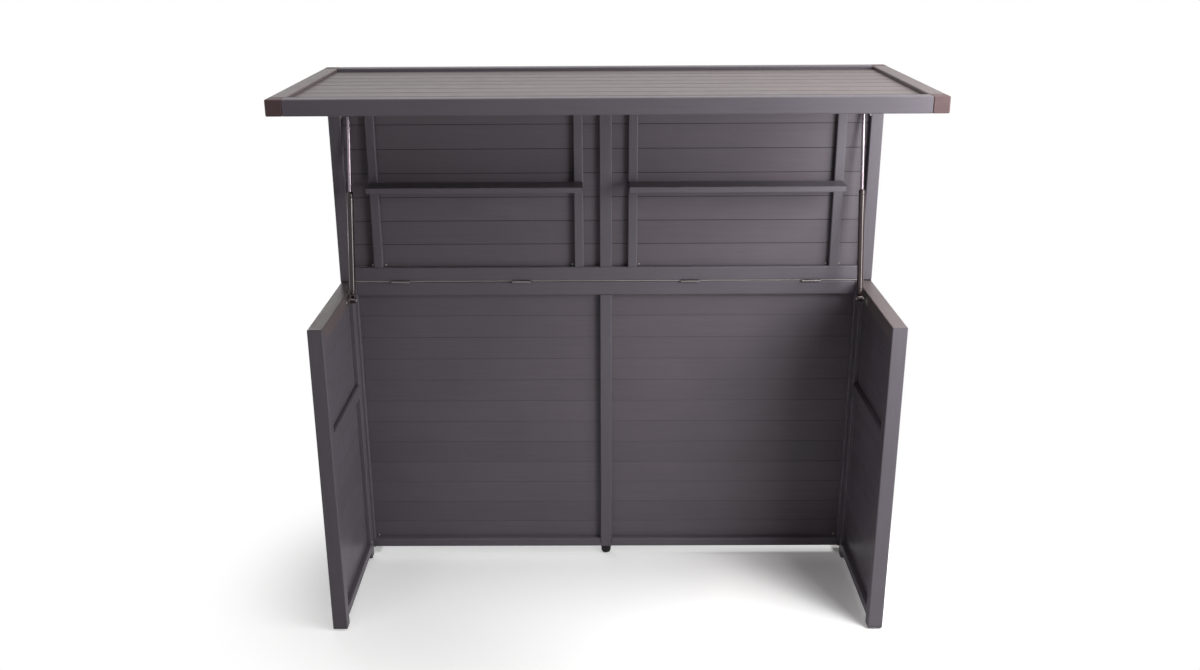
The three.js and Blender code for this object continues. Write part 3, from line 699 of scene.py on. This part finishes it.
class BAR_OT_shelves(bpy.types.Operator):
    """The two shelves, each with an end plug at both ends"""

    bl_idname = "bar.shelves"
    bl_label = "Shelves"

    def execute(self, context):
        """The board stops one plug short of its box at both ends, where a slightly smaller plug sits."""
        sizes, look = context.scene.bar_sizes, finishes(context.scene)
        board_corner, plug_corner, edge, inset = 0.002, 0.0018, 0.0003, 0.0002
        for side, _ in SIDES:
            name = f"shelf_{side}"
            low, high = spot(name)
            board = bar(low + [sizes.plug, 0, 0], high - [sizes.plug, 0, 0], 0, board_corner, edge)
            piece(f"{name}_board", [board], look["frame_x"], "flap", [name])
            plugs = []
            for start in (low[0], high[0] - sizes.plug):
                near = [start, low[1] + inset, low[2] + inset]
                far = [start + sizes.plug, high[1] - inset, high[2] - inset]
                plugs.append(bar(near, far, 0, plug_corner, edge))
            piece(f"{name}_plugs", plugs, look["plastic"], "flap")
        return {"FINISHED"}


class BAR_OT_feet(bpy.types.Operator):
    """Glides under the wing posts, the centre foot, and the plugs in the open tube ends"""

    bl_idname = "bar.feet"
    bl_label = "Feet and plugs"

    def execute(self, context):
        """Four glides, the centre foot and the plugs."""
        sizes, look = context.scene.bar_sizes, finishes(context.scene)
        for word in ("front", "back"):
            for side, _ in SIDES:
                self.glide(word, side, sizes, look)
        self.centre_foot(look)
        self.plugs(sizes, look)
        return {"FINISHED"}

    def glide(self, word, side, sizes, look):
        """A dish turned from an outline of (radius, height), under a flange that fills the tube's end."""
        flange_thick, flange_play, flange_edge, neck = 0.0022, 1e-4, 4e-4, 0.0072
        sole = [(0.0001, 0), (0.0044, 0), (0.0052, 0.0003), (0.0055, 0.001)]
        name = f"foot_{word}_{side}"
        low, high = spot(name)
        middle = (low + high) / 2
        post_foot = spot(f"wing_{word}_post_{side}")[0][2]
        flange_foot = post_foot - flange_thick
        dish = turned([*sole, (neck, flange_foot)], sides=36, place=(middle[0], middle[1], 0))
        far = [high[0], high[1], post_foot - flange_play]
        flange = bar([low[0], low[1], flange_foot], far, 2, sizes.tube_corner, flange_edge)
        piece(f"{name}_glide", [dish, flange], look["plastic"], "frame", [name])

    def centre_foot(self, look):
        """A turned foot whose sole is a quarter ellipse: radius R (1 + sin a) / 2 at height h (1 - cos a)."""
        low, high = spot("foot_centre")
        middle, radius, top = (low + high) / 2, (high[0] - low[0]) / 2, high[2]
        sole, edge, axis_hole = 0.007, 3e-4, 1e-4
        a = np.linspace(0, QUARTER, 10)
        round_sole = np.stack([radius * (1 + np.sin(a)) / 2, sole * (1 - np.cos(a))], 1)
        profile = [(axis_hole, 0), *round_sole.tolist(), (radius, top - edge), (radius - edge, top)]
        foot = turned(profile, place=(middle[0], middle[1], 0))
        piece("foot_centre_glide", [foot], look["plastic"], "frame", ["foot_centre"])

    def plugs(self, sizes, look):
        """Thin rounded lids on the open ends of the posts, a little smaller than the tube."""
        inset, edge, thick = 3e-4, 3e-4, sizes.plug
        for body, name, ends in (
            ("frame", "wall_end_post_left", (0, 1)),
            ("frame", "wall_end_post_right", (0, 1)),
            ("frame", "wall_centre_post", (0,)),
            ("flap", "flap_end_post_left", (0,)),
            ("flap", "flap_end_post_right", (0,)),
        ):
            low, high = spot(name)
            lids = []
            for end in ends:
                z = high[2] if end else low[2] - thick
                near = [low[0] + inset, low[1] + inset, z]
                far = [high[0] - inset, high[1] - inset, z + thick]
                lids.append(bar(near, far, 2, sizes.tube_corner, edge))
            piece(f"{name}_plugs", lids, look["plastic"], body)


class BAR_OT_hinges(bpy.types.Operator):
    """Butt hinges in the seam: two leaves, five knuckles and a pin each"""

    bl_idname = "bar.hinges"
    bl_label = "Hinges"

    def execute(self, context):
        """Lower leaves carry knuckles 0, 2 and 4 of five, upper leaves knuckles 1 and 3 and the pin."""
        sizes, look = context.scene.bar_sizes, finishes(context.scene)
        for k in range(1, 5):
            low, high = spot(f"hinge_{k}_lower_leaf")
            pin_height = (low[2] + high[2]) / 2
            self.leaf(k, "lower", (0, 2, 4), "frame", pin_height, sizes, look)
            self.leaf(k, "upper", (1, 3), "flap", pin_height, sizes, look)
        self.seam_highlight_strip(look)
        return {"FINISHED"}

    def leaf(self, k, word, knuckles, body, pin_height, sizes, look):
        """A plate behind the pin with its knuckles, each a fifth of the width less the play at both sides,
        and a web from each knuckle to the plate."""
        half, thick, plate_corner, pin_radius = 0.02, 0.001, 0.002, 0.00125
        off_pin, plate_play, knuckle_play, web_lap = 1.5e-4, 3e-4, 4e-4, 6e-4
        edge, knuckle_edge, web_edge = 2e-4, 3e-4, 1e-4
        name = f"hinge_{k}_{word}_leaf"
        low, high = spot(name)
        radius, width = sizes.knuckle, 2 * half / 5
        middle, pin_y = (low[0] + high[0]) / 2, low[1] + radius
        foot = pin_height + off_pin if word == "upper" else pin_height - off_pin - thick
        top = foot + thick
        place = (0, pin_y, pin_height)
        near, far = [middle - half, pin_y + radius + plate_play, foot], [middle + half, high[1], top]
        forms = [bar(near, far, 2, plate_corner, edge)]
        for j in knuckles:
            start = middle - half + j * width + knuckle_play
            end = start + width - 2 * knuckle_play
            forms.append(rounded_rod(radius, start, end, knuckle_edge, sides=28, run=0, place=place))
            forms.append(bar([start, pin_y, foot], [end, pin_y + radius + web_lap, top], 0, edge, web_edge))
        if word == "upper":
            ends = (middle - half, middle + half)
            forms.append(rounded_rod(pin_radius, *ends, edge, sides=20, run=0, place=place))
        piece(f"{name}_steel", forms, look["hinge"], body, [name])

    def seam_highlight_strip(self, look):
        """A strip under the flap's bottom rail, lighter than the coat: painted highlight for the light that
        the rail's edge catches in the seam. It stops just short of each hinge.
        """
        inset, depth, drop, play, under_play, corner, edge = 6e-4, 0.012, 0.0015, 5e-4, 1e-4, 2e-4, 1e-4
        low, high = spot("flap_bottom_rail")
        leaves = [spot(f"hinge_{k}_upper_leaf") for k in range(1, 5)]
        starts = [low[0]] + sorted(leaf[1][0] + play for leaf in leaves)
        ends = sorted(leaf[0][0] - play for leaf in leaves) + [high[0]]
        strips = []
        for start, end in zip(starts, ends):
            near, far = [start, low[1] + inset, low[2] - drop], [end, low[1] + depth, low[2] - under_play]
            strips.append(bar(near, far, 0, corner, edge))
        piece("flap_seam_edge", strips, look["seam"], "flap")


class BAR_OT_struts(bpy.types.Operator):
    """Gas struts with their rods, sockets, ball studs, brackets and screws"""

    bl_idname = "bar.struts"
    bl_label = "Gas struts"

    def execute(self, context):
        """The foot pivot is the cylinder's joint. The head pivot is level with the flap plate's middle."""
        sizes, look = context.scene.bar_sizes, finishes(context.scene)
        for side, way in SIDES:
            joint = next(j for j in frame["joints"] if j["name"] == f"strut_turn_{side}")
            foot = np.array(joint["pos_m"])
            low, high = spot(f"strut_head_plate_{side}")
            head = np.array([foot[0], (low[1] + high[1]) / 2, (low[2] + high[2]) / 2])
            self.strut(side, way, foot, head, sizes, look)
            self.bracket(side, way, foot, sizes, look)
            self.head_plate(side, way, sizes, look)
        return {"FINISHED"}

    def strut(self, side, way, foot, head, sizes, look):
        """Outlines of (radius, distance from the foot pivot) turned about the line between the pivots: the
        cylinder with a rolled groove and its gland, the rod, and a neck and an eye at each end. The head's
        eye has a stud across it that ends in a disc at the flap's plate."""
        span = np.linalg.norm(head - foot)
        lean = np.arctan2(head[1] - foot[1], head[2] - foot[2])
        c, s = np.cos(lean), np.sin(lean)
        turn = np.array([[1, 0, 0], [0, c, s], [0, -s, c]])

        def leaned(grid):
            """Points turned about X by the lean and moved to the foot pivot."""
            return grid @ turn.T + foot

        r, rod, top, start = sizes.cylinder, sizes.rod, span * sizes.cylinder_share, 0.02
        eye, eye_half, eye_edge = 0.006, 0.0055, 8e-4
        stud, stud_edge, disc, disc_edge, disc_thick, play = 0.0025, 2e-4, 0.005, 3e-4, 0.002, 3e-4
        hidden, shaft_end, shaft_edge = 0.03, 0.0134, 2e-4
        body = [
            (0.003, start), (r - 0.0016, start), (r - 0.0006, start + 0.0005), (r, start + 0.0018),
            (r, top - 0.0125), (r - 0.0002, top - 0.0118), (r - 0.0008, top - 0.0108),
            (r - 0.0002, top - 0.0098), (r, top - 0.0092), (r, top - 0.003), (r - 0.0007, top - 0.0012),
            (r - 0.0018, top - 0.0003), (r - 0.0024, top), (rod + 0.0009, top), (rod + 0.0004, top - 0.0006),
            (0.0041, top - 0.002),
        ]
        neck = [(0.0034, 0.0048), (0.0034, 0.0125), (0.0052, 0.0135), (0.0052, 0.0195), (0.0046, 0.0202)]
        collar = [
            (0.0046, span - 0.014), (0.0048, span - 0.0137), (0.0048, span - 0.0095),
            (0.0034, span - 0.0085), (0.0034, span - 0.0048),
        ]
        barrel = rounded_rod(eye, -eye_half, eye_half, eye_edge, sides=36, run=0)
        cylinder = [leaned(turned(body, sides=48)), leaned(turned(neck, sides=32)), leaned(barrel)]
        name = f"strut_cylinder_{side}"
        piece(f"{name}_tube", cylinder, look["enamel"], f"cylinder_{side}", [name])
        shaft = turned([
            (rod, top - hidden), (rod, span - shaft_end - shaft_edge), (rod - shaft_edge, span - shaft_end)
        ])
        face = spot(f"strut_head_plate_{side}")[0 if way > 0 else 1][0] - foot[0]
        stud_ends = sorted((0, face - way * play))
        disc_ends = sorted((face - way * (play + disc_thick), face - way * play))
        place = (0, 0, span)
        head_forms = [
            leaned(turned(collar, sides=32)),
            leaned(rounded_rod(eye, -eye_half, eye_half, eye_edge, sides=36, run=0, place=place)),
            leaned(rounded_rod(stud, *stud_ends, stud_edge, sides=24, run=0, place=place)),
            leaned(rounded_rod(disc, *disc_ends, disc_edge, sides=30, run=0, place=place)),
        ]
        name = f"strut_rod_{side}"
        piece(f"{name}_shaft", [leaned(shaft)], look["chrome"], f"rod_{side}", [name])
        piece(f"{name}_head", head_forms, look["enamel"], f"rod_{side}")

    def bracket(self, side, way, foot, sizes, look):
        """The plate on the wing with two screws, and the ball stud with a nut on each side of the strut."""
        thick, corner, edge, screw_inset = 0.002, 0.003, 3e-4, 0.0065
        stud, stud_end, stud_edge, ball_radius = 0.0022, 0.006, 4e-4, 0.004
        nut, nut_near, nut_far, nut_edge = 0.0027, 0.0058, 0.0083, 0.001
        name = f"strut_bracket_{side}"
        low, high = spot(name)
        outer = high[0] if way > 0 else low[0]
        inner = outer - way * thick
        near, far = [min(outer, inner), low[1], low[2]], [max(outer, inner), high[1], high[2]]
        plate = bar(near, far, 0, corner, edge)
        place = (0, foot[1], foot[2])
        ends = sorted((foot[0] - way * stud_end, inner))
        forms = [rounded_rod(stud, *ends, stud_edge, sides=28, run=0, place=place)]
        for towards in (-way, way):
            ends = sorted((foot[0] + towards * nut_near, foot[0] + towards * nut_far))
            forms.append(rounded_rod(nut, *ends, nut_edge, sides=28, run=0, place=place))
        forms.append(ball(ball_radius, foot, 0))
        reach = (high[1] - low[1]) / 2 - screw_inset
        screws = [screw((inner, foot[1] + step, foot[2]), 0, -way, sizes.screw) for step in (-reach, reach)]
        piece(f"{name}_plate", [plate] + screws, look["hinge"], "frame", [name])
        piece(f"{name}_stud", forms, look["steel"], "frame")

    def head_plate(self, side, way, sizes, look):
        """The plate on the flap's post, with a screw above and below the stud."""
        corner, edge, reach = 0.003, 3e-4, 0.0125
        name = f"strut_head_plate_{side}"
        low, high = spot(name)
        inner = low[0] if way > 0 else high[0]
        middle = (low + high) / 2
        forms = [bar(low, high, 0, corner, edge)]
        for step in (-reach, reach):
            forms.append(screw((inner, middle[1], middle[2] + step), 0, -way, sizes.plate_screw))
        piece(f"{name}_steel", forms, look["hinge"], "flap", [name])


class BAR_OT_screws(bpy.types.Operator):
    """Screw heads that hold the planks and uprights"""

    bl_idname = "bar.screws"
    bl_label = "Screws"

    def execute(self, context):
        """Screws stand on the planks just above the bottom rails and on the back posts' inner faces."""
        sizes, look = context.scene.bar_sizes, finishes(context.scene)
        radius = sizes.small_screw
        boards, rail = spot("wall_planks"), spot("wall_bottom_rail")
        height = rail[1][2] + 2 * radius
        heads = [screw((way * sizes.wall_screw, boards[0][1], height), 1, -1, radius) for _, way in SIDES]
        for side, way in SIDES:
            low, high = spot(f"wing_back_post_{side}")
            face = low[0] if way > 0 else high[0]
            heads.append(screw((face, (low[1] + high[1]) / 2, rail[1][2]), 0, -way, radius))
        piece("wall_screws", heads, look["steel"], "frame")
        boards, rail = spot("flap_planks"), spot("flap_bottom_rail")
        height = rail[1][2] + 1.5 * radius
        heads = []
        for side, way in SIDES:
            for word, reach in (("inner", (way,)), ("outer", (-way, way))):
                low, high = spot(f"{word}_upright_{side}")
                for step in reach:
                    x = (high[0] if step > 0 else low[0]) + step * 2 * radius
                    heads.append(screw((x, boards[0][1], height), 1, -1, radius))
        piece("flap_screws", heads, look["steel"], "flap")
        return {"FINISHED"}


# Stage


def seen_rays(add):
    """Two values: whether a ray comes from the camera, and whether it does or comes off a mirror or through
    glass."""
    paths = add("ShaderNodeLightPath").outputs
    mirror = maths(add, "MAXIMUM", paths["Is Glossy Ray"], paths["Is Transmission Ray"])
    return paths["Is Camera Ray"], maths(add, "MAXIMUM", paths["Is Camera Ray"], mirror)


class BAR_OT_stage(bpy.types.Operator):
    """Camera, lamps, world and floor"""

    bl_idname = "bar.stage"
    bl_label = "Stage"

    def execute(self, context):
        """Sets the view transform and builds the four parts of the stage."""
        stage = context.scene.bar_stage
        context.scene.view_settings.view_transform = "Standard"
        self.camera(context.scene, stage)
        self.lamps(context.scene, stage)
        self.world(context.scene, stage)
        self.floor(context.scene, stage)
        return {"FINISHED"}

    def camera(self, scene, stage):
        """Turns by yaw about Z, then by pitch about the camera's X, then rolls about its line of sight."""
        data = bpy.data.cameras.new("Camera")
        sensor, nearest, farthest = 36, 0.05, 60
        data.lens, data.sensor_width = stage.camera_lens, sensor
        data.shift_x, data.shift_y = stage.camera_shift
        data.clip_start, data.clip_end = nearest, farthest
        yaw, pitch, roll = stage.camera_yaw, stage.camera_pitch, stage.camera_roll
        right = np.array([np.cos(yaw), np.sin(yaw), 0])
        ahead = np.array([-np.sin(yaw) * np.cos(pitch), np.cos(yaw) * np.cos(pitch), np.sin(pitch)])
        up = np.cross(right, ahead)
        across = np.cos(roll) * right + np.sin(roll) * up
        rise = np.cos(roll) * up - np.sin(roll) * right
        turn = Matrix(np.stack([across, rise, -ahead], 1).tolist()).to_4x4()
        item = bpy.data.objects.new("Camera", data)
        item.matrix_world = Matrix.Translation(stage.camera_place) @ turn
        scene.collection.objects.link(item)
        scene.camera = item

    def lamps(self, scene, stage):
        """Soft rectangular lamps. Each one's back points from its aim to its place, its width lies level."""
        for name, energy, size, place, aim, colour in (
            ("Key", stage.key_power, (0.6, 0.6), (1.05, -0.5, 1.22), (0, 0.05, 0.6), (1, 1, 1)),
            ("Low", stage.low_power, (0.6, 0.6), (1.15, -1.1, 0.8), (0, 0.05, 0.6), (1, 1, 1)),
            ("Top", stage.top_power, (0.6, 0.6), (0.95, 0.15, 2.4), (0, 0, 0.9), (1, 0.95, 0.9)),
            ("Fill", stage.fill_power, (0.9, 0.9), (-0.6, -0.7, 2.5), (0, 0.05, 0.6), (1, 0.98, 0.96)),
            ("Back", stage.back_power, (1.2, 0.5), (-1.2, 1.7, 0.6), (0, 0, 0.5), (1, 1, 1)),
        ):
            data = bpy.data.lights.new(name, "AREA")
            data.energy, data.color = energy, colour
            data.shape, data.size, data.size_y = "RECTANGLE", *size
            item = bpy.data.objects.new(name, data)
            back = np.array(place) - np.array(aim)
            back /= np.linalg.norm(back)
            right = np.cross([0, 0, 1], back)
            right /= np.linalg.norm(right)
            turn = Matrix(np.stack([right, np.cross(back, right), back], 1).tolist()).to_4x4()
            item.matrix_world = Matrix.Translation(place) @ turn
            item.visible_camera = False
            scene.collection.objects.link(item)

    def world(self, scene, stage):
        """Plain light all round, and white where the camera or a mirror looks past the floor."""
        world = bpy.data.worlds.new("Studio")
        world.use_nodes = True
        world.node_tree.nodes.clear()
        add = node_adder(world.node_tree)
        _, seen = seen_rays(add)
        plain = add("ShaderNodeBackground", Strength=stage.sky, Color=(1, 1, 1, 1))
        white = add("ShaderNodeBackground", Strength=1, Color=(1, 1, 1, 1))
        mix = add("ShaderNodeMixShader", _0=seen, _1=plain.outputs[0], _2=white.outputs[0])
        add("ShaderNodeOutputWorld", Surface=mix.outputs[0])
        scene.world = world

    def floor(self, scene, stage):
        """A pale floor that takes the unit's shadow nearby and turns plain white with distance."""
        side = 20
        corners = [(-side, -side, 0), (side, -side, 0), (side, side, 0), (-side, side, 0)]
        mesh = bpy.data.meshes.new("Floor")
        mesh.from_pydata(corners, [], [(0, 1, 2, 3)])
        item = bpy.data.objects.new("Floor", mesh)
        scene.collection.objects.link(item)
        material = bpy.data.materials.new("Studio floor")
        material.use_nodes = True
        material.node_tree.nodes.clear()
        add = node_adder(material.node_tree)
        camera, seen = seen_rays(add)
        lit, drawn = (*stage.floor, 1), (stage.floor_tone, stage.floor_tone, stage.floor_tone, 1)
        tone = add("ShaderNodeMix", {"data_type": "RGBA"}, _0=camera, _6=lit, _7=drawn).outputs[2]
        near, far = add("ShaderNodeBsdfDiffuse", Color=tone), add("ShaderNodeEmission", Strength=1)
        gate = product(add, seen, self.whiteness(add, stage))
        mix = add("ShaderNodeMixShader", _0=gate, _1=near.outputs[0], _2=far.outputs[0])
        add("ShaderNodeOutputMaterial", Surface=mix.outputs[0])
        mesh.materials.append(material)

    def whiteness(self, add, stage):
        """The share of plain white: a smooth step of the distance from the shaded ellipse's middle, with X
        and Y counted in its half width and half depth. A strip under the wall gets at least a set share of
        white as painted light, lifting the shade that the wall casts there; the share rises in a straight
        ramp from each of the strip's edges."""
        where = add("ShaderNodeTexCoord").outputs["Object"]
        wide, deep = stage.fade
        scale, shift = (1 / wide, 1 / deep, 0), (-stage.fade_middle / wide, 0, 0)
        share = add("ShaderNodeVectorMath", {"operation": "MULTIPLY_ADD"}, _0=where, _1=scale, _2=shift)
        away = add("ShaderNodeVectorMath", {"operation": "LENGTH"}, _0=share.outputs[0]).outputs["Value"]
        span = {"From Min": stage.fade_start, "From Max": stage.fade_end}
        fade = add("ShaderNodeMapRange", {"interpolation_type": "SMOOTHSTEP"}, Value=away, **span)
        low, high = spot("wall_bottom_rail")
        front, front_ramp, back, back_ramp, end_ramp = 0.002, 0.012, 0.03, 0.02, 0.01
        parts = add("ShaderNodeSeparateXYZ", Vector=where).outputs
        # Painted light that lifts the wall's shade on the floor beneath it.
        strip = stage.painted_glow
        for axis, start, run in (
            (1, low[1] + front, front_ramp), (1, high[1] + back, -back_ramp),
            (0, low[0], end_ramp), (0, high[0], -end_ramp),
        ):
            span = {"From Min": start, "From Max": start + run}
            ramp = add("ShaderNodeMapRange", Value=parts[axis], **span)
            strip = product(add, ramp.outputs[0], strip)
        return maths(add, "MAXIMUM", fade.outputs[0], strip)


class BAR_PT_panel(bpy.types.Panel):
    """Lists the operators in the order in which they are run"""

    bl_label = "Bar unit"
    bl_idname = "BAR_PT_panel"
    bl_space_type = "VIEW_3D"
    bl_region_type = "UI"
    bl_category = "Bar unit"

    def draw(self, context):
        """A button for each operator, then a box with the values of each group."""
        for operator in OPERATORS:
            self.layout.operator(operator.bl_idname)
        for group in (context.scene.bar_sizes, context.scene.bar_finish, context.scene.bar_stage):
            box = self.layout.box()
            for name in group.__annotations__:
                box.prop(group, name)


OPERATORS = (
    BAR_OT_stage, BAR_OT_tubes, BAR_OT_planks, BAR_OT_counter, BAR_OT_shelves, BAR_OT_feet, BAR_OT_hinges,
    BAR_OT_struts, BAR_OT_screws,
)
GROUPS = (("bar_sizes", BarSizes), ("bar_finish", BarFinish), ("bar_stage", BarStage))


def register():
    """Registers the groups, the operators and the panel, and gives every scene one of each group."""
    for _, group in GROUPS:
        bpy.utils.register_class(group)
    for kind in (*OPERATORS, BAR_PT_panel):
        bpy.utils.register_class(kind)
    for name, group in GROUPS:
        setattr(bpy.types.Scene, name, PointerProperty(type=group))


def unregister():
    """Takes the groups off the scenes again, then unregisters every class."""
    for name, _ in GROUPS:
        delattr(bpy.types.Scene, name)
    for kind in (BAR_PT_panel, *reversed(OPERATORS), *(group for _, group in GROUPS)):
        bpy.utils.unregister_class(kind)


def main():
    """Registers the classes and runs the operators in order."""
    register()
    for operator in OPERATORS:
        group, name = operator.bl_idname.split(".")
        getattr(getattr(bpy.ops, group), name)()
    bpy.context.view_layer.update()


if __name__ == "__main__":
    main()
